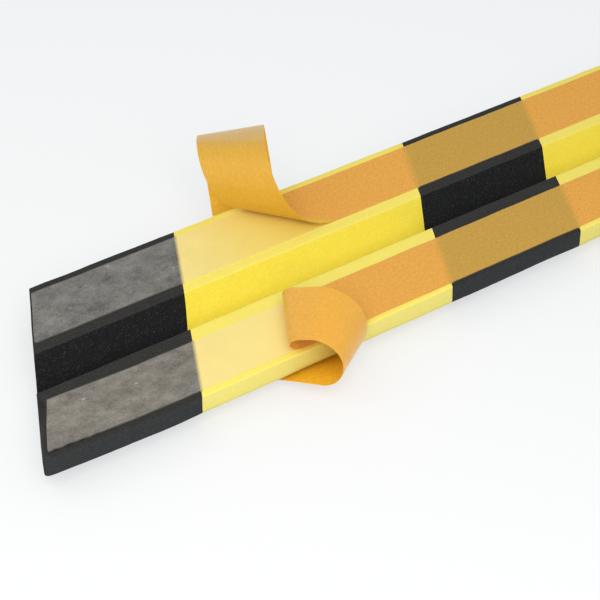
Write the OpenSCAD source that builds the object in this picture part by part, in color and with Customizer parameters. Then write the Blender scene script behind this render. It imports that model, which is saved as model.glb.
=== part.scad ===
// Foldable corner bumper, laid flat with its sticky side up: a foam strip in warning colours
// with a groove along the middle to fold it by, a tape on each land and a peeled paper on each tape.
// The strip lies along X, its flat back rests on z = 0, and the origin is the middle of that back.

/* [Foam strip] */
// Width of the strip across its long sides
strip_w = 161; // [140:1:220]
// Thickness along the middle
middle_t = 26; // [24:0.5:34]
// Height of the long outer sides
edge_t = 15; // [12:0.5:20]
// Width of the flat band along the middle of the back
back_w = 56; // [30:1:80]
// Radius of the long lower edges
lower_r = 6; // [2:0.5:7]
// Radius of the long upper edges
upper_r = 1; // [0.5:0.1:2.5]

/* [Groove] */
// Depth of the groove, whose walls meet at its bottom
groove_d = 18; // [12:0.5:20]
// Angle between the walls, which is the angle of the corner that the strip folds round
groove_angle = 90; // [80:1:100]

/* [Colour blocks] */
// Width of a black block, square to its ends
black_w = 100; // [80:1:140]
// Width of a yellow block, square to its ends
yellow_w = 175; // [140:1:220]
// Angle between the ends of the blocks and the long sides
end_angle = 62; // [55:1:80]

/* [Tapes] */
// Width of each tape
tape_w = 48; // [40:1:49]
// Thickness of the tapes
tape_t = 0.4; // [0.2:0.1:1]
// Bare border between the groove and the far tape
far_gap = 8.5; // [6:0.5:12]
// Bare border between the groove and the near tape
near_gap = 11.5; // [6:0.5:12]
// Distance from the strip's ends to the ends of the tapes
tape_inset = 1.2; // [0.5:0.1:4]
// Extra distance by which the near tape's left end is cut short on its groove side
near_cut = 5; // [0:0.5:8]

/* [Both papers] */
// Thickness of the papers
paper_t = 0.3; // [0.2:0.05:0.5]
// Bare border of tape on each side of the papers
paper_border = 0.5; // [0:0.1:1]

/* [Far paper] */
// Distance from the strip's left end to the middle of the far paper's peel line
far_peel = 237; // [220:1:260]
// Where the far paper's peel bend starts, along its middle from the peel line
far_lift_at = 0; // [-10:1:10]
// Length of the far paper's peel bend
far_lift_l = 95; // [85:1:105]
// Turn of the far paper's peel bend
far_lift_turn = 195; // [180:1:205]
// Skew of the far paper's peel bend where it starts and where it ends
far_lift_skew = [38, 19]; // [15:1:42]
// Where the far paper's roll starts, along its middle from the peel line
far_roll_at = 126; // [120:1:135]
// Length of the far paper's roll
far_roll_l = 28; // [24:1:40]
// Turn of the far paper's roll
far_roll_turn = 116; // [105:1:120]
// Skew of the far paper's roll where it starts and where it ends
far_roll_skew = [-15, 19]; // [-20:1:25]
// Length that the far paper's free end lacks
far_trim = 11; // [8:1:20]
// Skew of the far paper's free end, which is cut by hand
far_end_skew = -6; // [-10:1:0]

/* [Near paper] */
// Distance from the strip's left end to the middle of the near paper's peel line
near_peel = 164; // [150:1:200]
// Where the near paper's peel bend starts, along its middle from the peel line
near_lift_at = 0; // [-5:1:5]
// Length of the near paper's peel bend
near_lift_l = 31; // [28:1:36]
// Turn of the near paper's peel bend
near_lift_turn = 156; // [140:1:170]
// Skew of the near paper's peel bend where it starts and where it ends
near_lift_skew = [-32, -29]; // [-40:1:-20]
// Where the near paper's roll starts, along its middle from the peel line
near_roll_at = 44; // [42:1:50]
// Length of the near paper's roll
near_roll_l = 70; // [66:1:76]
// Turn of the near paper's roll
near_roll_turn = 193; // [180:1:200]
// Skew of the near paper's roll where it starts and where it ends
near_roll_skew = [-16, 14]; // [-20:1:20]
// Length that the near paper's free end lacks
near_trim = 36; // [34:1:60]

/* [Hidden] */
$fn = 64;
black = "#2b2b2b";
yellow = "#f3e34a";
film = "#b9b2a0";
kraft = "#e8a94a";
half_w = strip_w / 2;
groove_half = groove_d * tan(groove_angle / 2);
black_l = black_w / sin(end_angle);
yellow_l = yellow_w / sin(end_angle);
strip_l = 3 * black_l + 2 * yellow_l;
// Shift along the strip for each millimetre across it, as the ends are cut askew
lean = 1 / tan(end_angle);
// Skew of a paper's end that is cut along the strip's
end_skew = end_angle - 90;
// Room that a cutter reaches past the faces it cuts
over = 1;
side_foot = middle_t - edge_t;
back_slope = atan(side_foot / (half_w - back_w / 2));
// Distance from the long lower corner to where its rounding starts
lower_cut = lower_r * tan((90 - back_slope) / 2);
paper_z = middle_t + tape_t;
paper_w = tape_w - 2 * paper_border;
far_y = groove_half + far_gap;
near_y = -groove_half - near_gap - tape_w;
bend_folds = 14;

// Where block i begins on the strip's middle line: blocks alternate, black first
function block_x(i) = -strip_l / 2 + ceil(i / 2) * black_l + floor(i / 2) * yellow_l;

// Half of the section's outline, from the back to the land, with straight cuts for roundings
function half_outline() = [
    [back_w / 2, 0],
    [half_w - lower_cut * cos(back_slope), side_foot - lower_cut * sin(back_slope)],
    [half_w, side_foot + lower_cut],
    [half_w, middle_t - upper_r],
    [half_w - upper_r, middle_t]
];
function mirrored(points) = [for (i = [len(points) - 1:-1:0]) [-points[i].x, points[i].y]];

// Section of the foam across the strip
module foam_section() {
    difference() {
        union() {
            polygon(concat(half_outline(), mirrored(half_outline())));
            for (side = [-1, 1]) {
                translate([side * (half_w - lower_r), side_foot + lower_cut]) circle(lower_r);
                translate([side * (half_w - upper_r), middle_t - upper_r]) circle(upper_r);
            }
        }
        groove_section();
    }
}

module groove_section() {
    reach = (groove_d + over) * tan(groove_angle / 2);
    polygon([[0, middle_t - groove_d], [reach, middle_t + over], [-reach, middle_t + over]]);
}

// One foam block: the strip's section between two askew ends
module foam_block(i) {
    reach = half_w + over;
    x0 = block_x(i);
    x1 = block_x(i + 1);
    intersection() {
        translate([x0 - reach * lean - over, 0, 0]) rotate([90, 0, 90])
            linear_extrude(x1 - x0 + 2 * (reach * lean + over)) foam_section();
        translate([0, 0, -over]) linear_extrude(middle_t + 2 * over) polygon([
            [x0 - reach * lean, -reach], [x1 - reach * lean, -reach],
            [x1 + reach * lean, reach], [x0 + reach * lean, reach]
        ]);
    }
}

module foam_black_left() { color(black) foam_block(0); }
module foam_yellow_left() { color(yellow) foam_block(1); }
module foam_black_middle() { color(black) foam_block(2); }
module foam_yellow_right() { color(yellow) foam_block(3); }
module foam_black_right() { color(black) foam_block(4); }

// End of the foam at distance y across the strip
function left_end(y) = -strip_l / 2 + y * lean;
function right_end(y) = strip_l / 2 + y * lean;

// A tape from y0 to y0 + tape_w; cut is how much further in its left end starts at y0 + tape_w
module tape(y0, cut) {
    y1 = y0 + tape_w;
    translate([0, 0, middle_t]) linear_extrude(tape_t) polygon([
        [left_end(y0) + tape_inset, y0], [right_end(y0) - tape_inset, y0],
        [right_end(y1) - tape_inset, y1], [left_end(y1) + tape_inset + cut, y1]
    ]);
}

module tape_far() { color(film) tape(far_y, 0); }
module tape_near() { color(film) tape(near_y, near_cut); }

// A paper is a chain of small folds, so it bends and never stretches. A fold is [distance along
// the paper's middle from the peel line, skew, angle]; o, a and b are the paper's frame so far.
function unit(v) = v / norm(v);
function turned(v, axis, angle) =
    v * cos(angle) + cross(axis, v) * sin(angle) + axis * (axis * v) * (1 - cos(angle));
function bend(at, length, turn, skew) = [for (i = [0:bend_folds - 1])
    let (t = (i + 0.5) / bend_folds)
    [at + length * t, skew[0] + (skew[1] - skew[0]) * t, turn / bend_folds]];
function paper_rows(folds, o, a, b, i = 0) = i == len(folds) ? [] :
    let (
        u = folds[i][0],
        h = paper_w / 2 * tan(folds[i][1]),
        near = o + a * (u - h),
        far = o + a * (u + h) + b * paper_w,
        axis = unit(far - near),
        a2 = turned(a, axis, folds[i][2]),
        b2 = turned(b, axis, folds[i][2])
    )
    concat(
        [[near, far, unit(unit(cross(b, a)) + unit(cross(b2, a2)))]],
        paper_rows(folds, near - a2 * (u - h), a2, b2, i + 1)
    );

// A paper on the tape at y0, lifted off to the left of the peel line; cut_skew is its free end's
module paper(y0, peel, bends, trim, cut_skew) {
    middle_y = y0 + tape_w / 2;
    peel_x = -strip_l / 2 + peel;
    right_cut = [peel_x - right_end(middle_y) + tape_inset, end_skew, 0];
    free_cut = [peel_x - left_end(middle_y) - tape_inset - trim, cut_skew, 0];
    folds = concat([right_cut], bends, [free_cut]);
    rows = paper_rows(folds, [peel_x, y0 + paper_border, paper_z], [-1, 0, 0], [0, 1, 0]);
    last = len(rows) - 1;
    points = [for (r = rows) each [r[0], r[1], r[1] + paper_t * r[2], r[0] + paper_t * r[2]]];
    polyhedron(points, concat(
        [[3, 2, 1, 0], [for (k = [0:3]) 4 * last + k]],
        [for (i = [0:last - 1], k = [0:3])
            each [[4 * i + k, 4 * i + (k + 1) % 4, 4 * i + 4 + k],
                [4 * i + (k + 1) % 4, 4 * i + 4 + (k + 1) % 4, 4 * i + 4 + k]]]
    ));
}

module paper_far() {
    bends = concat(
        bend(far_lift_at, far_lift_l, far_lift_turn, far_lift_skew),
        bend(far_roll_at, far_roll_l, far_roll_turn, far_roll_skew)
    );
    color(kraft) paper(far_y, far_peel, bends, far_trim, far_end_skew);
}
module paper_near() {
    bends = concat(
        bend(near_lift_at, near_lift_l, near_lift_turn, near_lift_skew),
        bend(near_roll_at, near_roll_l, near_roll_turn, near_roll_skew)
    );
    color(kraft) paper(near_y, near_peel, bends, near_trim, end_skew);
}

foam_black_left();
foam_yellow_left();
foam_black_middle();
foam_yellow_right();
foam_black_right();
tape_far();
tape_near();
paper_far();
paper_near();
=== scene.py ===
"""A foldable foam corner bumper, laid flat: foam blocks, two tapes and two half-peeled release papers."""

import logging
import math
from collections.abc import Callable
from dataclasses import dataclass
from enum import Enum

import bmesh
import bpy
from mathutils import Euler, Matrix, Vector, noise


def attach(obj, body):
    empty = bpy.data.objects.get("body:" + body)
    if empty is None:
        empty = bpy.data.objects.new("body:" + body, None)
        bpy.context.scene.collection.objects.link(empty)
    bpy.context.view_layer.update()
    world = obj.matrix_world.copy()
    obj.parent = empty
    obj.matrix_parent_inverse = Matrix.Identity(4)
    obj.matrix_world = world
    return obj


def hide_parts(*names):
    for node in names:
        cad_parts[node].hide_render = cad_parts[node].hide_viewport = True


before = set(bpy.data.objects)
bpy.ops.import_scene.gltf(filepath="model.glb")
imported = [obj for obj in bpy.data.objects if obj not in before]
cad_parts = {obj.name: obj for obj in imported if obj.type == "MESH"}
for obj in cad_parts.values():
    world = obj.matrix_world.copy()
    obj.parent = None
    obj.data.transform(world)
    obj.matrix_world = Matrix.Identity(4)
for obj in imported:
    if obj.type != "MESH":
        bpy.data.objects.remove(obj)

LOG = logging.getLogger("corner_bumper")
MM = 0.001
# How far off its place a corner may lie and still be picked
NEAR_ENOUGH = 0.05 * MM
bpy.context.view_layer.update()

ALONG = Vector((1, 0, 0))
ACROSS = Vector((0, 1, 0))
UP = Vector((0, 0, 1))

Tree = bpy.types.NodeTree
Node = bpy.types.Node
Socket = bpy.types.NodeSocket
Material = bpy.types.Material
Piece = bpy.types.Object
# A fold of a paper: its distance along the paper, its skew and its angle
Fold = tuple[float, float, float]


class Skin(Enum):
    """Which of the foam's surfaces a face belongs to."""

    MOULDED = 0
    SAWN = 1


class Side(Enum):
    """The long side of the strip that a tape lies on."""

    FAR = "far"
    NEAR = "near"


class Part(Enum):
    """What is picked in edit mode, as the operators call it."""

    CORNER = "VERT"
    EDGE = "EDGE"
    FACE = "FACE"


def linear(hex_code: str) -> tuple[float, float, float, float]:
    """Turn an sRGB hex value into the linear colour that a socket takes.

    Args:
        hex_code: colour such as "#e3a448".

    Returns:
        Linear red, green, blue and an alpha of 1.
    """
    parts = [int(hex_code[i : i + 2], 16) / 255 for i in (1, 3, 5)]
    red, green, blue = (c / 12.92 if c <= 0.04045 else ((c + 0.055) / 1.055) ** 2.4 for c in parts)
    return red, green, blue, 1.0


def clamped(value: float) -> float:
    """Keep a number between 0 and 1."""
    return min(1.0, max(0.0, value))


def steps(start: float, stop: float, size: float) -> list[float]:
    """Even places between two limits, without the limits.

    Args:
        start: the lower limit.
        stop: the upper limit.
        size: the largest distance between two places.

    Returns:
        The places in between.
    """
    count = max(1, math.ceil((stop - start) / size))
    return [start + (stop - start) * i / count for i in range(1, count)]


def add_node(tree: Tree, kind: str, inputs: dict | None = None, **settings: object) -> Node:
    """Add a node with its settings, values and links.

    Args:
        tree: the node tree that gets the node.
        kind: the node's type name, without ShaderNode.
        inputs: for each input, by name or number, its value, the output that is linked to it, or the
            node whose first output in use is linked to it.
        settings: properties of the node itself.

    Returns:
        The new node.
    """
    made = tree.nodes.new(f"ShaderNode{kind}")
    for name, value in settings.items():
        setattr(made, name, value)
    for key, value in (inputs or {}).items():
        if isinstance(value, Node):
            value = next(output for output in value.outputs if output.enabled)
        if isinstance(value, Socket):
            tree.links.new(value, made.inputs[key])
        else:
            made.inputs[key].default_value = value
    return made


def blank_material(name: str) -> Material:
    """Make a material with an empty node tree.

    Args:
        name: the finish's name.

    Returns:
        The new material.
    """
    material = bpy.data.materials.new(name)
    material.use_nodes = True
    material.node_tree.nodes.clear()
    return material


@dataclass(frozen=True)
class Layout:
    """Driving sizes of the strip in metres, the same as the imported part's.

    The groove's walls meet at a right angle, so its depth is also half of its width.
    """

    width: float = 161 * MM
    middle: float = 26 * MM
    edge: float = 15 * MM
    back: float = 56 * MM
    lower_radius: float = 6 * MM
    upper_radius: float = 1 * MM
    groove: float = 18 * MM
    end_angle: float = math.radians(62)
    colours: tuple[str, ...] = ("black", "yellow", "black", "yellow", "black")
    black: float = 100 * MM
    yellow: float = 175 * MM
    tape: float = 48 * MM
    film: float = 0.4 * MM
    inset: float = 1.2 * MM
    border: float = 0.5 * MM
    far_gap: float = 8.5 * MM
    near_gap: float = 11.5 * MM
    far_peel: float = 237 * MM
    near_peel: float = 164 * MM

    @property
    def paper(self) -> float:
        """Width of a release paper, which leaves a bare border of tape on both sides."""
        return self.tape - 2 * self.border

    @property
    def lean(self) -> float:
        """Shift along the strip for each metre across it."""
        return 1 / math.tan(self.end_angle)

    @property
    def askew(self) -> Vector:
        """Direction that is square to the slanted ends, in plan."""
        return Vector((1, -self.lean, 0)).normalized()

    @property
    def end_skew(self) -> float:
        """Skew in degrees of a paper that is cut along the strip's ends."""
        return math.degrees(self.end_angle) - 90

    @property
    def half(self) -> float:
        """Half of the strip's width."""
        return self.width / 2

    @property
    def blocks(self) -> list[float]:
        """Length of each block along the strip."""
        widths = {"black": self.black, "yellow": self.yellow}
        return [widths[colour] / math.sin(self.end_angle) for colour in self.colours]

    @property
    def length(self) -> float:
        """Length of the strip along its middle."""
        return sum(self.blocks)

    @property
    def joints(self) -> list[float]:
        """Place of the ends and glued joints on the strip's middle line.

        Returns:
            The places from left to right.
        """
        places = [-self.length / 2]
        for size in self.blocks:
            places.append(places[-1] + size)
        return places

    def from_end(self, point: Vector) -> float:
        """Distance of a point from the slanted left end, along the strip."""
        return point.x - self.joints[0] - point.y * self.lean

    def tape_start(self, side: Side) -> float:
        """Distance across the strip of the nearer edge of a side's tape."""
        return self.groove + self.far_gap if side is Side.FAR else -self.groove - self.near_gap - self.tape

    def peel(self, side: Side) -> float:
        """Distance from the strip's left end to the middle of a side's peel line."""
        return self.far_peel if side is Side.FAR else self.near_peel


LAYOUT = Layout()


@dataclass(frozen=True)
class Softness:
    """The small unevenness of soft foam, its raised far wing, and its near left corner."""

    seed: int = 1
    swell: float = 0.30 * MM
    swell_length: float = 22 * MM
    ripple: float = 0.10 * MM
    ripple_length: float = 5 * MM
    ripple_offset: tuple[float, float, float] = (7.0, 3.0, 5.0)
    flat_fade: float = 4 * MM
    wing_rise: float = 1.5 * MM
    wing_from: float = 20 * MM
    curl_rise: float = 4.5 * MM
    curl_inward: float = 1.5 * MM
    curl_along: float = 110 * MM
    curl_from: float = 30 * MM
    knife_inward: float = 5.5 * MM
    knife_along: float = 22 * MM
    knife_from: float = 20 * MM
    knife_to: float = 30 * MM
    corner_radius: float = 6 * MM

    def uneven(self, point: Vector) -> Vector:
        """Shift of the foam at a point, fading out towards the flat back.

        Args:
            point: place on the true form.

        Returns:
            The shift there.
        """
        slow = noise.noise_vector(point / self.swell_length)
        fast = noise.noise_vector(point / self.ripple_length + Vector(self.ripple_offset))
        return clamped(point.z / self.flat_fade) * (slow * self.swell + fast * self.ripple)

    def curl(self, point: Vector) -> Vector:
        """Shift of the near left corner, which lifts and draws in.

        Args:
            point: place on the true form.

        Returns:
            The shift there.
        """
        lengthwise = clamped(1 - LAYOUT.from_end(point) / self.curl_along)
        crosswise = clamped((-point.y - self.curl_from) / (LAYOUT.half - self.curl_from))
        share = lengthwise**2 * crosswise**2
        return Vector((self.curl_inward * share, 0, self.curl_rise * share))

    def knife(self, point: Vector) -> Vector:
        """Shift of the near land's left end, which a slanted knife cut short at the top.

        Args:
            point: place on the true form.

        Returns:
            The shift there.
        """
        lengthwise = clamped(1 - LAYOUT.from_end(point) / self.knife_along)
        opening = (-point.y - self.knife_from) / (self.knife_to - self.knife_from)
        closing = (LAYOUT.half + point.y) / (LAYOUT.half - self.knife_to)
        crosswise = clamped(min(opening, closing))
        height = clamped(point.z / LAYOUT.middle)
        return Vector((self.knife_inward * lengthwise * crosswise * height**2, 0, 0))

    def blunt(self, point: Vector) -> Vector:
        """Shift that rounds the sharp near left corner, seen from above.

        Args:
            point: place on the true form.

        Returns:
            The shift there.
        """
        corner = Vector((LAYOUT.joints[0] - LAYOUT.half * LAYOUT.lean, -LAYOUT.half))
        reach = self.corner_radius / math.tan(LAYOUT.end_angle / 2)
        centre = corner + Vector((reach, self.corner_radius))
        out = point.xy - centre
        towards = (corner - centre).normalized()
        inside = out.length <= self.corner_radius
        if inside or out.normalized().dot(towards) < math.sin(LAYOUT.end_angle / 2):
            return Vector((0, 0, 0))
        return (out.normalized() * self.corner_radius - out).to_3d()

    def wing(self, point: Vector) -> Vector:
        """Shift of the far wing, which the pull of the rolled paper lifts a little."""
        reach = (point.y - self.wing_from) / (LAYOUT.half - self.wing_from)
        return UP * self.wing_rise * clamped(reach)

    def settle(self, point: Vector) -> Vector:
        """Place of a point of the true form on the real, soft one, apart from the knife's cut."""
        return point + self.uneven(point) + self.curl(point) + self.wing(point)


SOFTNESS = Softness()


class Modeller:
    """Starts a mesh from a primitive and shapes it in edit mode."""

    # Edges that turn by less than this are shaded smoothly
    smooth_below = math.radians(32)

    def __init__(self, name: str) -> None:
        """Keep the piece's name, and deselect all, so that an operator acts on the new mesh alone."""
        self.name = name
        bpy.ops.object.select_all(action="DESELECT")

    def cube(self, low: Vector, high: Vector) -> Piece:
        """Add a box between two corners.

        Args:
            low: lowest corner.
            high: highest corner.

        Returns:
            The new object, with its place in its mesh.
        """
        bpy.ops.mesh.primitive_cube_add(size=1, location=(low + high) / 2, scale=high - low)
        return self._named()

    def plane(self, low: Vector, high: Vector) -> Piece:
        """Add a flat rectangle between two corners at one height.

        Args:
            low: lowest corner.
            high: highest corner.

        Returns:
            The new object, with its place in its mesh.
        """
        size = high - low
        bpy.ops.mesh.primitive_plane_add(size=1, location=(low + high) / 2)
        bpy.context.object.scale = (size.x, size.y, 1)
        return self._named()

    def _named(self) -> Piece:
        """Name the new object and put its place and size in its mesh.

        Returns:
            The new object.
        """
        made = bpy.context.object
        made.name = made.data.name = self.name
        bpy.ops.object.transform_apply(location=True, rotation=True, scale=True)
        return made

    @staticmethod
    def edit(made: Piece) -> bmesh.types.BMesh:
        """Enter edit mode with everything selected.

        Args:
            made: the object.

        Returns:
            Its mesh in edit mode.
        """
        bpy.context.view_layer.objects.active = made
        if made.mode != "EDIT":
            bpy.ops.object.mode_set(mode="EDIT")
        bpy.ops.mesh.select_mode(type=Part.CORNER.value)
        bpy.ops.mesh.select_all(action="SELECT")
        return bmesh.from_edit_mesh(made.data)

    @staticmethod
    def leave() -> None:
        """Leave edit mode."""
        bpy.ops.object.mode_set(mode="OBJECT")

    @staticmethod
    def pick(made: Piece, part: Part, chosen: Callable[[Vector], bool]) -> None:
        """Select the parts of a mesh whose corners all pass a test.

        Args:
            made: the object, which is left in edit mode.
            part: what is selected.
            chosen: tells whether a corner passes, from its place.
        """
        mesh = Modeller.edit(made)
        bpy.ops.mesh.select_mode(type=part.value)
        bpy.ops.mesh.select_all(action="DESELECT")
        parts = {Part.CORNER: mesh.verts, Part.EDGE: mesh.edges, Part.FACE: mesh.faces}[part]
        for item in parts:
            corners = [item] if part is Part.CORNER else item.verts
            item.select_set(all(chosen(corner.co) for corner in corners))
        mesh.select_flush_mode()
        bmesh.update_edit_mesh(made.data)

    @staticmethod
    def cut(made: Piece, place: Vector, normal: Vector, fill: bool = True) -> None:
        """Cut away what lies beyond a plane.

        Args:
            made: the object that is cut.
            place: a point on the plane.
            normal: direction of the side that goes.
            fill: whether the cut is closed with a face.
        """
        Modeller.edit(made)
        bpy.ops.mesh.bisect(plane_co=place, plane_no=normal, use_fill=fill, clear_outer=True)

    @staticmethod
    def score(made: Piece, axis: Vector, distances: list[float], normal: Vector) -> None:
        """Divide the faces along parallel planes.

        Args:
            made: the object that is divided.
            axis: direction in which the distances are measured.
            distances: distance of each plane from the middle of the strip's back.
            normal: the planes' shared direction.
        """
        for distance in distances:
            Modeller.edit(made)
            bpy.ops.mesh.bisect(plane_co=axis * distance, plane_no=normal)

    @staticmethod
    def round_edges(made: Piece, place: tuple[float, float], size: float, count: int) -> None:
        """Bevel the long edges at one place in the strip's section.

        Args:
            made: the object whose edges are rounded.
            place: the edges' distance across the strip and their height.
            size: distance from an edge to where its rounding starts.
            count: number of faces across the rounding.
        """
        Modeller.pick(made, Part.EDGE, lambda spot: math.dist(spot.yz, place) < NEAR_ENOUGH)
        bpy.ops.mesh.bevel(offset=size, segments=count, profile=0.5, affect="EDGES")

    @staticmethod
    def alone(made: Piece) -> None:
        """Select one object and nothing else, and make it the active one.

        Args:
            made: the object.
        """
        bpy.ops.object.select_all(action="DESELECT")
        made.select_set(True)
        bpy.context.view_layer.objects.active = made

    @staticmethod
    def finish(made: Piece, kind: str, **settings: object) -> None:
        """Add a modifier and apply it.

        Args:
            made: the object that gets it.
            kind: the modifier's type name.
            settings: the modifier's own properties.
        """
        Modeller.alone(made)
        modifier = made.modifiers.new(kind.title(), kind)
        for name, value in settings.items():
            setattr(modifier, name, value)
        bpy.ops.object.modifier_apply(modifier=modifier.name)

    @staticmethod
    def smooth(made: Piece) -> None:
        """Shade the roundings smoothly and keep the real corners."""
        Modeller.alone(made)
        bpy.ops.object.shade_smooth_by_angle(angle=Modeller.smooth_below)


def dress(piece: Piece, slot: str, replaced: str, *materials: Material) -> None:
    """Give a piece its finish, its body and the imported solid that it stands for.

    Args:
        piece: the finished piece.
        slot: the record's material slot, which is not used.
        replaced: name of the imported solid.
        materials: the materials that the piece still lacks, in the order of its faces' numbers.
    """
    for material in materials:
        piece.data.materials.append(material)
    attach(piece, "root")
    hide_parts(replaced)
    LOG.info("%s stands for %s with %d faces", piece.name, replaced, len(piece.data.polygons))


def strip_share(tree: Tree, place: Socket) -> Node:
    """Nodes that turn a place into its share of the strip's length, along the askew blocks.

    Args:
        tree: the material's node tree.
        place: the place in metres.

    Returns:
        The node whose result is 0 at the left end and 1 at the right one.
    """
    slant = (1.0, -LAYOUT.lean, 0.0)
    along = add_node(tree, "VectorMath", {0: place, 1: slant}, operation="DOT_PRODUCT")
    limits = {"From Min": LAYOUT.joints[0], "From Max": LAYOUT.joints[-1]}
    return add_node(tree, "MapRange", {"Value": along, **limits})


def block_colours(tree: Tree, along: Node | Socket, black: str, yellow: str, blur: float) -> Node:
    """Nodes that give each place the colour for the block that lies under it.

    Args:
        tree: the material's node tree.
        along: share of the strip's length.
        black: hex colour over the black blocks.
        yellow: hex colour over the yellow blocks.
        blur: width over which one turns into the other.

    Returns:
        The colour ramp.
    """
    shades = [linear({"black": black, "yellow": yellow}[colour]) for colour in LAYOUT.colours]
    soft = blur / 2 / LAYOUT.length
    stops = [(0.0, shades[0])]
    for joint, left, right in zip(LAYOUT.joints[1:-1], shades, shades[1:]):
        share = (joint - LAYOUT.joints[0]) / LAYOUT.length
        stops += [(share - soft, left), (share + soft, right)]
    stops.append((1.0, shades[-1]))
    ramp = add_node(tree, "ValToRGB", {"Fac": along})
    elements = ramp.color_ramp.elements
    while len(elements) < len(stops):
        elements.new(1.0)
    for element, (share, shade) in zip(elements, stops):
        element.position = share
        element.color = shade
    return ramp


@dataclass(frozen=True)
class FoamFinish:
    """Flexible polyurethane foam: matt, with fine cells that open where it is sawn.

    The real cells are about half a millimetre wide. They are drawn up to twice as wide, to show.
    """

    name: str
    base: str
    shade: str
    painted_side_base: str
    painted_side_shade: str
    glint_speck: str
    glint_speck_share: float
    cell: float
    depth: float
    mottle: float
    roughness: float
    gloss: float = 0.18

    def make(self) -> Material:
        """Build the material.

        Returns:
            Cells as bump, painted glints, soft clouds of a second tone, and painted light and shade by
            facing.
        """
        material = blank_material(self.name)
        tree = material.node_tree
        place = add_node(tree, "TexCoord").outputs["Object"]
        cells = add_node(tree, "TexVoronoi", {"Vector": place, "Scale": 1 / self.cell})
        rough = {"Vector": place, "Scale": 0.6 / self.cell, "Detail": 3.0, "Roughness": 0.6}
        grain = add_node(tree, "TexNoise", rough)
        clouds = add_node(tree, "TexNoise", {"Vector": place, "Scale": 1 / self.mottle, "Detail": 4.0})
        luck = add_node(tree, "SeparateColor", {"Color": cells.outputs["Color"]})
        both = {"Factor": 0.5, "A": clouds, "B": luck.outputs["Green"]}
        blend = add_node(tree, "Mix", both, data_type="FLOAT")
        normal = add_node(tree, "NewGeometry").outputs["Normal"]
        facing = add_node(tree, "SeparateXYZ", {"Vector": normal}).outputs["Z"]
        # Sides and upward faces get separate tones: painted light and shade, by which way a face points
        upward = add_node(tree, "MapRange", {"Value": facing, "From Min": 0.1, "From Max": 0.95})
        pair = []
        for base, shade in ((self.painted_side_base, self.painted_side_shade), (self.base, self.shade)):
            ends = {"Factor": blend, "A": linear(base), "B": linear(shade)}
            pair.append(add_node(tree, "Mix", ends, data_type="RGBA"))
        tones = add_node(tree, "Mix", {"Factor": upward, "A": pair[0], "B": pair[1]}, data_type="RGBA")
        # Painted glints: a few cells get a paler colour, as if they caught the light
        lucky = {"Value": luck.outputs["Red"], "From Min": 1 - self.glint_speck_share, "From Max": 1.0}
        chosen = add_node(tree, "MapRange", lucky)
        core = add_node(tree, "MapRange", {"Value": cells, "From Min": 0.42, "From Max": 0.12})
        glint = add_node(tree, "Math", {0: chosen, 1: core}, operation="MULTIPLY")
        ends = {"Factor": glint, "A": tones, "B": linear(self.glint_speck)}
        colour = add_node(tree, "Mix", ends, data_type="RGBA")
        height = add_node(tree, "Math", {0: grain, 1: cells}, operation="ADD")
        bump = add_node(tree, "Bump", {"Height": height, "Strength": 0.6, "Distance": self.depth})
        shine = {"Roughness": self.roughness, "Specular IOR Level": self.gloss}
        shader = add_node(tree, "BsdfPrincipled", {"Base Color": colour, **shine, "Normal": bump})
        add_node(tree, "OutputMaterial", {"Surface": shader})
        return material


# Moulded black foam: dull charcoal, warmer on the lands, with painted cool reflection on the sides and
# painted glints
BLACK_SKIN = FoamFinish(
    name="black_foam_skin",
    base="#252422",
    shade="#33322f",
    painted_side_base="#25282a",
    painted_side_shade="#323536",
    glint_speck="#4b4d50",
    glint_speck_share=0.5,
    cell=1.0 * MM,
    depth=0.2 * MM,
    mottle=9 * MM,
    roughness=0.9,
)
# Sawn black foam: open cells swallow the light; painted bluish glints, and painted shade darkens the
# groove's walls
BLACK_SAWN = FoamFinish(
    name="black_foam_sawn",
    base="#050607",
    shade="#1a1a1b",
    painted_side_base="#161716",
    painted_side_shade="#242522",
    glint_speck="#545a68",
    glint_speck_share=0.36,
    cell=0.75 * MM,
    depth=0.3 * MM,
    mottle=5 * MM,
    roughness=0.95,
)
# Moulded yellow foam: warm on the lands; duller and darker on the sides as painted shade, with a few
# painted glints
YELLOW_SKIN = FoamFinish(
    name="yellow_foam_skin",
    base="#efdc62",
    shade="#f6e46d",
    painted_side_base="#d8cc6e",
    painted_side_shade="#e1d67a",
    glint_speck="#faf2a8",
    glint_speck_share=0.08,
    cell=0.9 * MM,
    depth=0.2 * MM,
    mottle=9 * MM,
    roughness=0.8,
)
# Sawn yellow foam: fuller colour in the open cells, with painted pale glints
YELLOW_SAWN = FoamFinish(
    name="yellow_foam_sawn",
    base="#e6cf3c",
    shade="#f0dc4b",
    painted_side_base="#e6cf3c",
    painted_side_shade="#f0dc4b",
    glint_speck="#fdf6b4",
    glint_speck_share=0.2,
    cell=0.7 * MM,
    depth=0.3 * MM,
    mottle=7 * MM,
    roughness=0.9,
)


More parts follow.
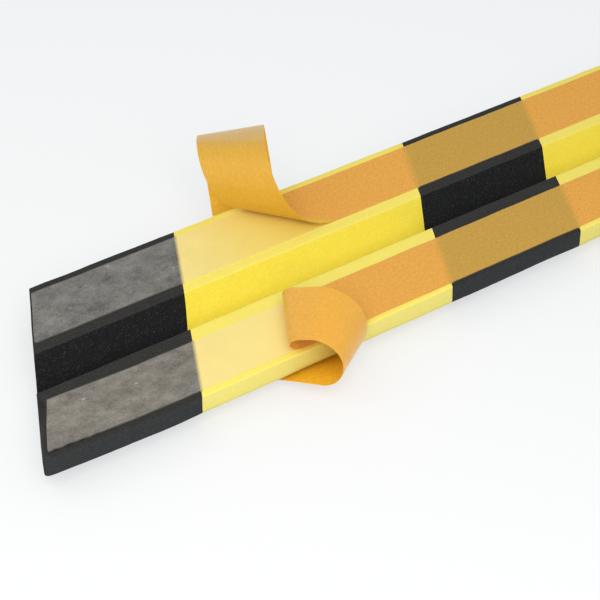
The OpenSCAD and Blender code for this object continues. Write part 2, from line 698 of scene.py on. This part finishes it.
@dataclass(frozen=True)
class FoamStrip:
    """The strip: five foam blocks glued end to end, with the fold groove along the middle."""

    names: tuple[str, ...] = (
        "foam_black_left",
        "foam_yellow_left",
        "foam_black_middle",
        "foam_yellow_right",
        "foam_black_right",
    )
    lip: float = 0.5 * MM
    spare: float = 5 * MM
    cut_along: float = 4 * MM
    cut_across: float = 6 * MM
    fine_cut: float = 1 * MM
    fine_reach: float = 9 * MM
    mirror_gap: float = 0.01 * MM
    weld: float = 0.001 * MM
    skin_over_lip: float = 0.3 * MM
    wall_above: float = 5 * MM
    wall_rise: float = 0.3
    end_squareness: float = 0.8

    def build(self) -> None:
        """Model and dress the five blocks from left to right."""
        finishes = {
            "black": [BLACK_SKIN.make(), BLACK_SAWN.make()],
            "yellow": [YELLOW_SKIN.make(), YELLOW_SAWN.make()],
        }
        for number, (name, colour) in enumerate(zip(self.names, LAYOUT.colours)):
            dress(self.block(number), f"foam_{colour}", name, *finishes[colour])

    def block(self, number: int) -> Piece:
        """Model one block: a bar with the strip's section, cut askew, divided and softened.

        Args:
            number: 0 for the block at the left end.

        Returns:
            The finished block.
        """
        start, stop = LAYOUT.joints[number], LAYOUT.joints[number + 1]
        model = Modeller(self.names[number].replace("foam", "block"))
        made = self.bar(model, start, stop)
        model.cut(made, ALONG * start, -LAYOUT.askew)
        model.cut(made, ALONG * stop, LAYOUT.askew)
        model.score(made, ALONG, steps(start, stop, self.cut_along), LAYOUT.askew)
        model.score(made, ACROSS, steps(-LAYOUT.half, LAYOUT.half, self.cut_across), ACROSS)
        model.score(made, UP, steps(0, LAYOUT.middle, self.cut_across), UP)
        if number == 0:
            fine = steps(0, self.fine_reach, self.fine_cut)
            model.score(made, ALONG, [start + distance for distance in fine], LAYOUT.askew)
            model.score(made, ACROSS, [distance - LAYOUT.half for distance in fine], ACROSS)
        model.edit(made)
        bpy.ops.mesh.remove_doubles(threshold=self.weld)
        bpy.ops.mesh.normals_make_consistent(inside=False)
        model.leave()
        self.sort_faces(made)
        for corner in made.data.vertices:
            rounded = corner.co + SOFTNESS.blunt(corner.co)
            corner.co = SOFTNESS.settle(rounded) + SOFTNESS.knife(rounded)
        model.smooth(made)
        return made

    def bar(self, model: Modeller, start: float, stop: float) -> Piece:
        """Model a bar with the strip's section: its near half from a box, and the far half mirrored.

        Args:
            model: the piece's modeller.
            start: left end of the block on the strip's middle line.
            stop: right end of the block there.

        Returns:
            The bar, with room to cut its ends askew.
        """
        spare = LAYOUT.half * LAYOUT.lean + self.spare
        top, floor = LAYOUT.middle, LAYOUT.middle - LAYOUT.groove
        made = model.cube(Vector((start - spare, -LAYOUT.half, 0)), Vector((stop + spare, 0, top)))
        rise, run = LAYOUT.middle - LAYOUT.edge, LAYOUT.half - LAYOUT.back / 2
        model.cut(made, Vector((0, -LAYOUT.back / 2, 0)), Vector((0, -rise, -run)).normalized())
        model.cut(made, Vector((0, 0, floor)), Vector((0, 1, 1)).normalized())
        slope = math.atan2(rise, run)
        tangent = LAYOUT.lower_radius * math.tan((math.pi / 2 - slope) / 2)
        model.round_edges(made, (-LAYOUT.half, rise), tangent, count=6)
        model.round_edges(made, (-LAYOUT.half, top), LAYOUT.upper_radius, count=4)
        model.round_edges(made, (-LAYOUT.groove, top), self.lip, count=3)
        model.pick(made, Part.FACE, lambda spot: abs(spot.y) < NEAR_ENOUGH)
        bpy.ops.mesh.delete(type="FACE")
        model.leave()
        mirrored = {"use_axis": (False, True, False), "use_clip": True}
        model.finish(made, "MIRROR", merge_threshold=self.mirror_gap, **mirrored)
        return made

    def sort_faces(self, made: Piece) -> None:
        """Mark the groove's walls and the ends as sawn, and the rest as skin.

        Args:
            made: the block, before it is softened.
        """
        wall_reach = LAYOUT.groove - self.skin_over_lip
        rounding = SOFTNESS.corner_radius - LAYOUT.half
        for face in made.data.polygons:
            middle, normal = face.center, face.normal
            in_groove = abs(middle.y) < wall_reach and middle.z > self.wall_above
            wall = in_groove and normal.z > self.wall_rise
            end = abs(normal.x) > self.end_squareness and middle.y > rounding
            face.material_index = (Skin.SAWN if wall or end else Skin.MOULDED).value


@dataclass(frozen=True)
class FilmFinish:
    """Milky adhesive film: grey and cloudy where black foam lies under it, cream on yellow."""

    side: Side
    on_black: str
    on_black_pale: str
    on_yellow_bounce_light: str
    on_yellow: str = "#ead483"
    on_yellow_pale: str = "#f3dc87"
    clear_on_black: str = "#3b3a36"
    clear_on_yellow: str = "#efdb7a"
    edge_highlight_on_black: str = "#5b5851"
    edge_highlight_on_yellow: str = "#ecda76"
    crumb: str = "#c2bca6"
    cloud: float = 11 * MM
    dimple: float = 1.2 * MM
    dimple_depth: float = 0.4 * MM
    crumb_pitch: float = 9 * MM
    blur: float = 1.2 * MM
    clear_from: float = 0.9 * MM
    clear_full: float = 0.5 * MM

    def make(self) -> Material:
        """Build the material.

        Returns:
            The film, with clouds of trapped air and fine dimples.
        """
        material = blank_material(f"milky_adhesive_film_{self.side.value}")
        tree = material.node_tree
        place = add_node(tree, "TexCoord").outputs["Object"]
        along = strip_share(tree, place)
        drawn_out = add_node(tree, "Mapping", {"Vector": place, "Scale": (0.8, 1.0, 1.0)})
        cloudy = {"Vector": drawn_out, "Scale": 1 / self.cloud, "Detail": 8.0, "Roughness": 0.74}
        dimpled = {"Vector": place, "Scale": 1 / self.dimple, "Detail": 2.0, "Roughness": 0.7}
        clouds, dimples = (add_node(tree, "TexNoise", inputs) for inputs in (cloudy, dimpled))
        air = add_node(tree, "Mix", {"Factor": 0.35, "A": clouds, "B": dimples}, data_type="FLOAT")
        spread = add_node(tree, "MapRange", {"Value": air, "From Min": 0.36, "From Max": 0.64})
        pair = []
        for dark, pale in ((self.on_black, self.on_black_pale), (self.on_yellow, self.on_yellow_pale)):
            ends = {"Factor": spread, "A": linear(dark), "B": linear(pale)}
            pair.append(add_node(tree, "Mix", ends, data_type="RGBA"))
        grey, cream = pair
        drawn_out = add_node(tree, "Mapping", {"Vector": place, "Scale": (0.5, 1.0, 1.0)})
        crumbs = add_node(tree, "TexVoronoi", {"Vector": drawn_out, "Scale": 1 / self.crumb_pitch})
        cores = {"Value": crumbs, "From Min": 0.10, "From Max": 0.04, "To Max": 0.6}
        dust = add_node(tree, "MapRange", cores)
        ends = {"Factor": dust, "A": grey, "B": linear(self.crumb)}
        dusty = add_node(tree, "Mix", ends, data_type="RGBA")
        # Painted reflection: over yellow foam the film turns yellower towards the peel line, as if lit by
        # the lifted paper
        first_joint = (LAYOUT.joints[1] - LAYOUT.joints[0]) / LAYOUT.length
        peel_line = LAYOUT.peel(self.side) / LAYOUT.length
        bounce_share = add_node(tree, "MapRange", {"Value": along, "From Min": first_joint, "From Max": peel_line})
        ends = {"Factor": bounce_share, "A": cream, "B": linear(self.on_yellow_bounce_light)}
        warm = add_node(tree, "Mix", ends, data_type="RGBA")
        under = block_colours(tree, along, "#000000", "#ffffff", self.blur)
        milky = add_node(tree, "Mix", {"Factor": under, "A": dusty, "B": warm}, data_type="RGBA")
        bare = block_colours(tree, along, self.clear_on_black, self.clear_on_yellow, self.blur)
        ends = {"Factor": self.border(tree), "A": milky, "B": bare}
        colour = add_node(tree, "Mix", ends, data_type="RGBA")
        relief = {"Height": air, "Strength": 0.35, "Distance": self.dimple_depth}
        bump = add_node(tree, "Bump", relief)
        shine = {"Roughness": 0.5, "Specular IOR Level": 0.4}
        shader = add_node(tree, "BsdfPrincipled", {"Base Color": colour, **shine, "Normal": bump})
        add_node(tree, "OutputMaterial", {"Surface": shader})
        return material

    def border(self, tree: Tree) -> Node:
        """Nodes that find the clear border along both long edges, where no air is trapped.

        Args:
            tree: the material's node tree.

        Returns:
            The node whose result is 1 in the border and 0 on the milky rest.
        """
        off = add_node(tree, "Attribute", attribute_name="off_middle").outputs["Fac"]
        start, full = LAYOUT.tape / 2 - self.clear_from, LAYOUT.tape / 2 - self.clear_full
        return add_node(tree, "MapRange", {"Value": off, "From Min": start, "From Max": full})

    def make_edge(self) -> Material:
        """Build the cut edge, painted paler than the film as a highlight.

        Returns:
            The edge's material.
        """
        material = blank_material(f"film_cut_edge_{self.side.value}")
        tree = material.node_tree
        along = strip_share(tree, add_node(tree, "TexCoord").outputs["Object"])
        colour = block_colours(tree, along, self.edge_highlight_on_black, self.edge_highlight_on_yellow, self.blur)
        shine = {"Roughness": 0.7, "Specular IOR Level": 0.3}
        shader = add_node(tree, "BsdfPrincipled", {"Base Color": colour, **shine})
        add_node(tree, "OutputMaterial", {"Surface": shader})
        return material


# Film of the far tape, painted yellower towards the peel line as reflected light from the lifted paper
FAR_FILM = FilmFinish(
    side=Side.FAR, on_black="#474541", on_black_pale="#84827b", on_yellow_bounce_light="#ebd058"
)
# Film of the near tape, warmer and paler over black foam, also painted yellower towards its peel line as
# reflected light
NEAR_FILM = FilmFinish(
    side=Side.NEAR, on_black="#4f4a42", on_black_pale="#8f897d", on_yellow_bounce_light="#f2dc86"
)


@dataclass(frozen=True)
class Tapes:
    """The double-sided tapes, bare where the papers are peeled off."""

    near_cut: float = 5 * MM
    cut_along: float = 2.5 * MM
    cut_across: float = 3 * MM
    corner: float = 3 * MM
    corner_steps: int = 5
    # How far a long edge of the near tape is off at its left end, inwards and across, and how far
    # along the strip that reaches
    drift_outer: tuple[float, float, float] = (4.0 * MM, 2.8 * MM, 330 * MM)
    drift_inner: tuple[float, float, float] = (2.2 * MM, 3.1 * MM, 68 * MM)
    pucker: float = 0.9 * MM
    pucker_pitch: float = 10 * MM
    pucker_along: float = 45 * MM
    pucker_across: float = 20 * MM

    def build(self) -> None:
        """Model and dress both tapes."""
        for finish in (FAR_FILM, NEAR_FILM):
            self.tape(finish)

    def tape(self, finish: FilmFinish) -> None:
        """Model and dress one tape from a plane: askew ends, a rounded corner and its thickness.

        Args:
            finish: the tape's finish, which also says its side.
        """
        near = finish.side is Side.NEAR
        low = LAYOUT.tape_start(finish.side)
        high = low + LAYOUT.tape
        reach = LAYOUT.length / 2 + LAYOUT.half
        height = LAYOUT.middle
        model = Modeller(f"film_{finish.side.value}")
        made = model.plane(Vector((-reach, low, height)), Vector((reach, high, height)))
        left, right = LAYOUT.joints[0] + LAYOUT.inset, LAYOUT.joints[-1] - LAYOUT.inset
        foot = Vector((left + low * LAYOUT.lean, low, height))
        head = Vector((left + high * LAYOUT.lean + (self.near_cut if near else 0.0), high, height))
        run = head - foot
        model.cut(made, foot, Vector((-run.y, run.x, 0)).normalized(), fill=False)
        model.cut(made, ALONG * right, LAYOUT.askew, fill=False)
        model.pick(made, Part.CORNER, lambda spot: (spot - foot).length < NEAR_ENOUGH)
        rounding = {"segments": self.corner_steps, "profile": 0.5, "affect": "VERTICES"}
        bpy.ops.mesh.bevel(offset=self.corner, **rounding)
        model.score(made, ALONG, steps(left, right, self.cut_along), LAYOUT.askew)
        model.score(made, ACROSS, steps(low, high, self.cut_across), ACROSS)
        model.leave()
        off = made.data.attributes.new("off_middle", "FLOAT", "POINT")
        for number, corner in enumerate(made.data.vertices):
            off.data[number].value = abs(corner.co.y - (low + high) / 2)
            moved = corner.co + (self.drift(corner.co) if near else Vector())
            corner.co = SOFTNESS.settle(moved)
        made.data.materials.append(finish.make())
        made.data.materials.append(finish.make_edge())
        model.finish(made, "SOLIDIFY", thickness=LAYOUT.film, offset=1.0, material_offset_rim=1)
        model.smooth(made)
        dress(made, "tape_film", f"tape_{finish.side.value}")

    def drift(self, point: Vector) -> Vector:
        """Shift of the near tape, whose left end was laid a little askew and puckered.

        Args:
            point: place on the straight tape.

        Returns:
            The shift there.
        """
        along = LAYOUT.from_end(point) - LAYOUT.inset
        outer = (LAYOUT.tape_start(Side.NEAR) + LAYOUT.tape - point.y) / LAYOUT.tape
        shift = Vector((0, 0, 0))
        for share, (inward, across, reach) in ((outer, self.drift_outer), (1 - outer, self.drift_inner)):
            fade = clamped(1 - along / reach)
            shift += share * fade * Vector((inward * fade, across, 0))
        near = clamped(1 - (1 - outer) * LAYOUT.tape / self.pucker_across)
        left = clamped(1 - along / self.pucker_along)
        wave = (1 - math.cos(2 * math.pi * along / self.pucker_pitch)) / 2
        return shift + UP * self.pucker * wave * near * math.sqrt(left)


@dataclass(frozen=True)
class Bend:
    """A bend of a paper: place and length along the paper, and turn and skews in degrees.

    With an ease, the bend tightens and eases off over that share of its length at each end.
    """

    at: float
    length: float
    turn: float
    skew_from: float
    skew_to: float
    ease: float = 0.0

    def folds(self, count: int) -> list[Fold]:
        """Split the bend into small folds.

        Args:
            count: number of folds.

        Returns:
            Distance, skew and angle of each fold, the last two in radians.
        """
        shares = [(i + 0.5) / count for i in range(count)]
        weights = [clamped(min(share, 1 - share) / self.ease) if self.ease else 1.0 for share in shares]
        made = []
        for share, weight in zip(shares, weights):
            skew = self.skew_from + (self.skew_to - self.skew_from) * share
            angle = math.radians(self.turn * weight / sum(weights))
            made.append((self.at + self.length * share, math.radians(skew), angle))
        return made


@dataclass(frozen=True)
class PaperFinish:
    """Siliconed kraft release paper.

    Its kraft side is fibrous and matt, and darker where black foam lies under it. Its siliconed side
    is smoother and yellower, and shines where it turns away. Free paper lets some light through.
    The real fibres are too fine to show, so they are drawn as clumps of about 2 mm.
    """

    side: Side
    siliconed: str
    siliconed_dim: str
    on_black: str = "#c3973a"
    on_yellow: str = "#e5a340"
    free: str = "#efba2a"
    blur: float = 5 * MM
    cloud: tuple[float, float] = (14 * MM, 6 * MM)
    fibre: tuple[float, float] = (2.4 * MM, 1.8 * MM)
    fibre_depth: float = 0.1 * MM
    fibre_tone: float = 0.98
    shive_pitch: float = 3 * MM
    glow: float = 0.5
    glow_reach: float = 0.4 * MM
    glow_colour: tuple[float, float, float] = (1.0, 0.7, 0.35)
    coat_roughness: float = 0.22
    coat_ior: float = 1.4

    def kraft(self) -> Material:
        """Build the kraft side, which shows what lies under it.

        Returns:
            The kraft side's material.
        """
        material = blank_material(f"kraft_release_paper_{self.side.value}")
        tree = material.node_tree
        flat = add_node(tree, "UVMap", uv_map="Unrolled")
        along = add_node(tree, "SeparateXYZ", {"Vector": flat}).outputs["X"]
        over = block_colours(tree, along, self.on_black, self.on_yellow, self.blur)
        lifted = add_node(tree, "Attribute", attribute_name="lifted").outputs["Fac"]
        ends = {"Factor": lifted, "A": over, "B": linear(self.free)}
        tone = add_node(tree, "Mix", ends, data_type="RGBA")
        self._finish(tree, flat, tone, roughness=0.62, gloss=0.35, coat=0.0, contrast=0.15)
        return material

    def silicone(self) -> Material:
        """Build the siliconed side.

        Returns:
            The siliconed side's material.
        """
        material = blank_material(f"siliconed_paper_{self.side.value}")
        tree = material.node_tree
        flat = add_node(tree, "UVMap", uv_map="Unrolled")
        grid = self._pattern(tree, flat, *self.cloud)
        clouds = add_node(tree, "TexNoise", {"Vector": grid, "Scale": 1.0, "Detail": 4.0, "Roughness": 0.6})
        ends = {"Factor": clouds, "A": linear(self.siliconed_dim), "B": linear(self.siliconed)}
        tone = add_node(tree, "Mix", ends, data_type="RGBA")
        self._finish(tree, flat, tone, roughness=0.6, gloss=0.2, coat=0.6, contrast=0.1)
        return material

    @staticmethod
    def _pattern(tree: Tree, flat: Node, along: float, across: float) -> Node:
        """Nodes that measure the unrolled paper, whose map is in strip lengths, in pattern lengths.

        Args:
            tree: the material's node tree.
            flat: place on the unrolled paper.
            along: size of the pattern along the paper.
            across: its size across the paper.

        Returns:
            The node that gives the place.
        """
        scale = (LAYOUT.length / along, LAYOUT.length / across, 1.0)
        return add_node(tree, "Mapping", {"Vector": flat, "Scale": scale})

    def _finish(
        self,
        tree: Tree,
        flat: Node,
        tone: Node,
        roughness: float,
        gloss: float,
        coat: float,
        contrast: float,
    ) -> None:
        """Add the fibres, the specks and the shader.

        Args:
            tree: the material's node tree.
            flat: place on the unrolled paper.
            tone: colour before the fibres.
            roughness: roughness of this side.
            gloss: specular level of this side.
            coat: share of the smooth silicone coat, which shows where the paper turns away.
            contrast: share by which the fibres darken or lighten it.
        """
        grid = self._pattern(tree, flat, *self.fibre)
        fibres = add_node(tree, "TexNoise", {"Vector": grid, "Scale": 1.0, "Detail": 4.0, "Roughness": 0.7})
        low, high = self.fibre_tone - contrast, self.fibre_tone + contrast
        middling = {"From Min": 0.3, "From Max": 0.7}
        tint = add_node(tree, "MapRange", {"Value": fibres, **middling, "To Min": low, "To Max": high})
        metres = self._pattern(tree, flat, 1.0, 1.0)
        spots = add_node(tree, "TexVoronoi", {"Vector": metres, "Scale": 1 / self.shive_pitch})
        cores = {"From Min": 0.05, "From Max": 0.12, "To Min": 0.8, "To Max": 1.0}
        shives = add_node(tree, "MapRange", {"Value": spots, **cores})
        value = add_node(tree, "Math", {0: tint, 1: shives}, operation="MULTIPLY")
        colour = add_node(tree, "HueSaturation", {"Color": tone, "Value": value})
        lifted = add_node(tree, "Attribute", attribute_name="lifted").outputs["Fac"]
        glow = add_node(tree, "Math", {0: lifted, 1: self.glow}, operation="MULTIPLY")
        relief = {"Height": fibres, "Strength": 0.25, "Distance": self.fibre_depth}
        bump = add_node(tree, "Bump", relief)
        look = {
            "Base Color": colour,
            "Roughness": roughness,
            "Specular IOR Level": gloss,
            "Coat Weight": coat,
            "Coat Roughness": self.coat_roughness,
            "Coat IOR": self.coat_ior,
            "Subsurface Weight": glow,
            "Subsurface Radius": self.glow_colour,
            "Subsurface Scale": self.glow_reach,
            "Normal": bump,
        }
        add_node(tree, "OutputMaterial", {"Surface": add_node(tree, "BsdfPrincipled", look)})


@dataclass(frozen=True)
class Row:
    """A line across a paper: its two ends in space, and the same two on the unrolled paper."""

    near: Vector
    far: Vector
    flat_near: Vector
    flat_far: Vector

    @property
    def flat_middle(self) -> Vector:
        """The line's middle on the unrolled paper."""
        return self.flat_near.lerp(self.flat_far, 0.5)


@dataclass(frozen=True)
class ReleasePaper:
    """One release paper: it bends and never stretches, as a chain of small folds."""

    side: Side
    finish: PaperFinish
    bends: tuple[Bend, ...]
    trim: float
    end_skew: float = LAYOUT.end_skew
    thickness: float = 0.14 * MM
    lie: float = 0.2 * MM
    folds: int = 40
    lanes: int = 16
    fan_lines: int = 12
    fan_reach: float = 40 * MM
    row_pitch: float = 6 * MM
    lift_fade: float = 8 * MM
    follow_fade: float = 60 * MM

    def build(self) -> None:
        """Model and dress the paper."""
        rows = self.rows()
        made = self.surface(rows)
        sides = {"material_offset": 1, "material_offset_rim": 0}
        Modeller.finish(made, "SOLIDIFY", thickness=self.thickness, offset=0.0, **sides)
        Modeller.smooth(made)
        dress(made, "release_paper", f"paper_{self.side.value}")

    def surface(self, rows: list[Row]) -> Piece:
        """Make the paper without its thickness, with its materials and its unrolled map.

        Args:
            rows: the lines across the paper.

        Returns:
            The new object.
        """
        shares = [lane / self.lanes for lane in range(self.lanes + 1)]
        flat = [row.flat_near.lerp(row.flat_far, share) for row in rows for share in shares]
        bent = [row.near.lerp(row.far, share) for row in rows for share in shares]
        points = [place + self.follow(spot) for place, spot in zip(bent, flat)]
        wide = len(shares)
        firsts = [row * wide + lane for row in range(len(rows) - 1) for lane in range(self.lanes)]
        faces = [(first, first + 1, first + wide + 1, first + wide) for first in firsts]
        mesh = bpy.data.meshes.new(f"release_{self.side.value}")
        mesh.from_pydata(points, [], faces)
        mesh.materials.append(self.finish.kraft())
        mesh.materials.append(self.finish.silicone())
        made = bpy.data.objects.new(mesh.name, mesh)
        bpy.context.scene.collection.objects.link(made)
        lifted = mesh.attributes.new("lifted", "FLOAT", "POINT")
        for number, spot in enumerate(flat):
            lifted.data[number].value = clamped(self.past(spot) / self.lift_fade)
        layer = mesh.uv_layers.new(name="Unrolled")
        for loop in mesh.loops:
            spot = flat[loop.vertex_index]
            layer.data[loop.index].uv = Vector((LAYOUT.from_end(spot), spot.y)) / LAYOUT.length
        return made

    def past(self, spot: Vector) -> float:
        """Distance along the strip by which a spot of the unrolled paper is past the peel line.

        Args:
            spot: place on the unrolled paper.

        Returns:
            The distance, less than 0 where the paper still lies on the tape.
        """
        across = spot.y - LAYOUT.tape_start(self.side) - LAYOUT.tape / 2
        skewed = across * math.tan(math.radians(self.bends[0].skew_from))
        return LAYOUT.joints[0] + LAYOUT.peel(self.side) - spot.x - skewed

    def follow(self, spot: Vector) -> Vector:
        """Shift that keeps the flat stretch on the uneven tape and fades out past the peel line."""
        fade = clamped(1 - self.past(spot) / self.follow_fade)
        return fade * (SOFTNESS.settle(spot) - spot)

    def fan(self, start: Fold, stop: Fold) -> list[Fold]:
        """Lines without a turn that swing from one skew to another on the flat stretch.

        Args:
            start: the fold before them.
            stop: the fold after them.

        Returns:
            The lines, as folds by no angle.
        """
        made = []
        for number in range(1, self.fan_lines):
            share = number / self.fan_lines
            place = start[0] + (stop[0] - start[0]) * share
            lean = math.tan(start[1]) * (1 - share) + math.tan(stop[1]) * share
            made.append((place, math.atan(lean), 0.0))
        return made

    def rows(self) -> list[Row]:
        """Fold the paper.

        Returns:
            The lines across it, from its right end to its free one.
        """
        low = LAYOUT.tape_start(self.side) + LAYOUT.border
        half = LAYOUT.paper / 2
        slant = (low + half) * LAYOUT.lean
        peel_x = LAYOUT.joints[0] + LAYOUT.peel(self.side)
        right = peel_x - (LAYOUT.joints[-1] + slant) + LAYOUT.inset
        free = peel_x - (LAYOUT.joints[0] + slant) - LAYOUT.inset - self.trim
        flats = [
            (place, math.radians(LAYOUT.end_skew), 0.0)
            for place in (right, *steps(right, -self.fan_reach, self.row_pitch))
        ]
        bends = [fold for bend in self.bends for fold in bend.folds(self.folds)]
        end = (free, math.radians(self.end_skew), 0.0)
        origin = Vector((peel_x, low, LAYOUT.middle + LAYOUT.film + self.lie))
        along, across = -ALONG, ACROSS
        made = []
        for place, skew, angle in (*flats, *self.fan(flats[-1], bends[0]), *bends, end):
            shift = half * math.tan(skew)
            near = origin + along * (place - shift)
            far = origin + along * (place + shift) + across * LAYOUT.paper
            flat_near = Vector((peel_x - place + shift, low, LAYOUT.middle))
            flat_far = Vector((peel_x - place - shift, low + LAYOUT.paper, LAYOUT.middle))
            made.append(Row(near, far, flat_near, flat_far))
            turn = Matrix.Rotation(angle, 3, (far - near).normalized())
            along, across = turn @ along, turn @ across
            origin = near - along * (place - shift)
        return made


# The far paper stands up from its tape, bows back over the far edge and hangs down behind it
FAR_PAPER = ReleasePaper(
    side=Side.FAR,
    # Its siliconed side is a darker copy of the near paper's: painted shade
    finish=PaperFinish(Side.FAR, siliconed="#d8a934", siliconed_dim="#cfa031"),
    bends=(
        Bend(at=0, length=95 * MM, turn=189, skew_from=38, skew_to=19),
        Bend(at=95 * MM, length=31 * MM, turn=12, skew_from=19, skew_to=-15),
        Bend(at=126 * MM, length=28 * MM, turn=108.5, skew_from=-15, skew_to=19, ease=0.35),
    ),
    trim=11 * MM,
    end_skew=-6,
)
# The near paper turns back over the near edge and rolls in under the wing
NEAR_PAPER = ReleasePaper(
    side=Side.NEAR,
    finish=PaperFinish(Side.NEAR, siliconed="#e7ac38", siliconed_dim="#dea235"),
    bends=(
        Bend(at=0, length=31 * MM, turn=156, skew_from=-32, skew_to=-29),
        Bend(at=44 * MM, length=70 * MM, turn=193, skew_from=-16, skew_to=14),
    ),
    trim=36 * MM,
)


@dataclass(frozen=True)
class Lamp:
    """One soft square lamp that faces the strip's left half."""

    name: str
    place: tuple[float, float, float]
    watts: float
    aim: tuple[float, float, float] = (-0.4, 0.0, 0.0)
    size: float = 1.0
    colour: str = "#fffbf2"

    def hang(self) -> None:
        """Add the lamp to the scene."""
        data = bpy.data.lights.new(self.name, "AREA")
        data.size = self.size
        data.energy = self.watts
        data.color = linear(self.colour)[:3]
        lamp = bpy.data.objects.new(self.name, data)
        lamp.location = self.place
        towards = Vector(self.aim) - Vector(self.place)
        lamp.rotation_euler = towards.to_track_quat("-Z", "Y").to_euler()
        bpy.context.scene.collection.objects.link(lamp)


@dataclass(frozen=True)
class Studio:
    """The pale table, the soft lights and the camera."""

    lamps: tuple[Lamp, ...] = (
        Lamp("key", place=(-0.8, -0.9, 0.9), watts=14.0),
        Lamp("top", place=(-1.1, 0.3, 1.0), watts=2.2),
    )
    # Place of the camera in millimetres
    eye: tuple[float, float, float] = (-845.9, -926.8, 814.6)
    azimuth: float = math.radians(36.32)
    elevation: float = math.radians(35.42)
    roll: float = math.radians(0.06)
    lens: float = 125.65
    sensor: float = 36.0
    sight: float = 30.0
    table: float = 12.0
    table_top: str = "#f9f6f0"
    veil: float = 0.66
    veil_colour: str = "#f5f8fb"
    sky: str = "#f1f7ff"
    sky_strength: float = 0.66
    backdrop: str = "#f6f8fa"

    def build(self) -> None:
        """Add everything round the object."""
        self.camera()
        self.floor()
        self.world()
        for lamp in self.lamps:
            lamp.hang()

    def camera(self) -> None:
        """Set the camera at the photograph's viewing angle."""
        data = bpy.data.cameras.new("camera")
        data.lens = self.lens
        data.sensor_width = self.sensor
        data.clip_end = self.sight
        camera = bpy.data.objects.new("camera", data)
        camera.location = Vector(self.eye) * MM
        turn = Euler((math.pi / 2 - self.elevation, 0, -self.azimuth)).to_matrix()
        camera.rotation_euler = (turn @ Matrix.Rotation(self.roll, 3, "Z")).to_euler()
        bpy.context.scene.collection.objects.link(camera)
        bpy.context.scene.camera = camera

    @staticmethod
    def seen(tree: Tree) -> Node:
        """Nodes that tell whether the camera sees a place, straight or in a reflection.

        Args:
            tree: the node tree of the floor or the world.

        Returns:
            The node whose value is 1 where the place is seen and 0 where it only lights.
        """
        rays = add_node(tree, "LightPath").outputs
        ways = {0: rays["Is Glossy Ray"], 1: rays["Is Transmission Ray"]}
        mirrored = add_node(tree, "Math", ways, operation="ADD")
        ways = {0: rays["Is Camera Ray"], 1: mirrored}
        return add_node(tree, "Math", ways, operation="ADD", use_clamp=True)

    def floor(self) -> None:
        """Lay the pale table under the strip, with soft shadows that a white veil thins."""
        half = self.table / 2
        made = Modeller("table").plane(Vector((-half, -half, 0)), Vector((half, half, 0)))
        # Laminated white table top: matt, so that it mirrors nothing
        material = blank_material("white_table_top")
        tree = material.node_tree
        shine = {"Roughness": 0.8, "Specular IOR Level": 0.1}
        shader = add_node(tree, "BsdfPrincipled", {"Base Color": linear(self.table_top), **shine})
        glow = add_node(tree, "Emission", {"Color": linear(self.veil_colour), "Strength": 1.0})
        share = add_node(tree, "Math", {0: self.seen(tree), 1: self.veil}, operation="MULTIPLY")
        mixed = add_node(tree, "MixShader", {0: share, 1: shader, 2: glow})
        add_node(tree, "OutputMaterial", {"Surface": mixed})
        made.data.materials.append(material)

    def world(self) -> None:
        """Light the scene evenly from all round, with a white backdrop behind the table."""
        world = bpy.data.worlds.new("studio")
        world.use_nodes = True
        tree = world.node_tree
        tree.nodes.clear()
        light = add_node(tree, "Background", {"Color": linear(self.sky), "Strength": self.sky_strength})
        white = add_node(tree, "Background", {"Color": linear(self.backdrop), "Strength": 1.0})
        mixed = add_node(tree, "MixShader", {0: self.seen(tree), 1: light, 2: white})
        add_node(tree, "OutputWorld", {"Surface": mixed})
        bpy.context.scene.world = world


def main() -> None:
    """Build the bumper and the studio."""
    logging.basicConfig(level=logging.INFO, format="%(name)s: %(message)s")
    bpy.context.scene.view_settings.view_transform = "Standard"
    noise.seed_set(SOFTNESS.seed)
    FoamStrip().build()
    Tapes().build()
    FAR_PAPER.build()
    NEAR_PAPER.build()
    Studio().build()


if __name__ == "__main__":
    main()
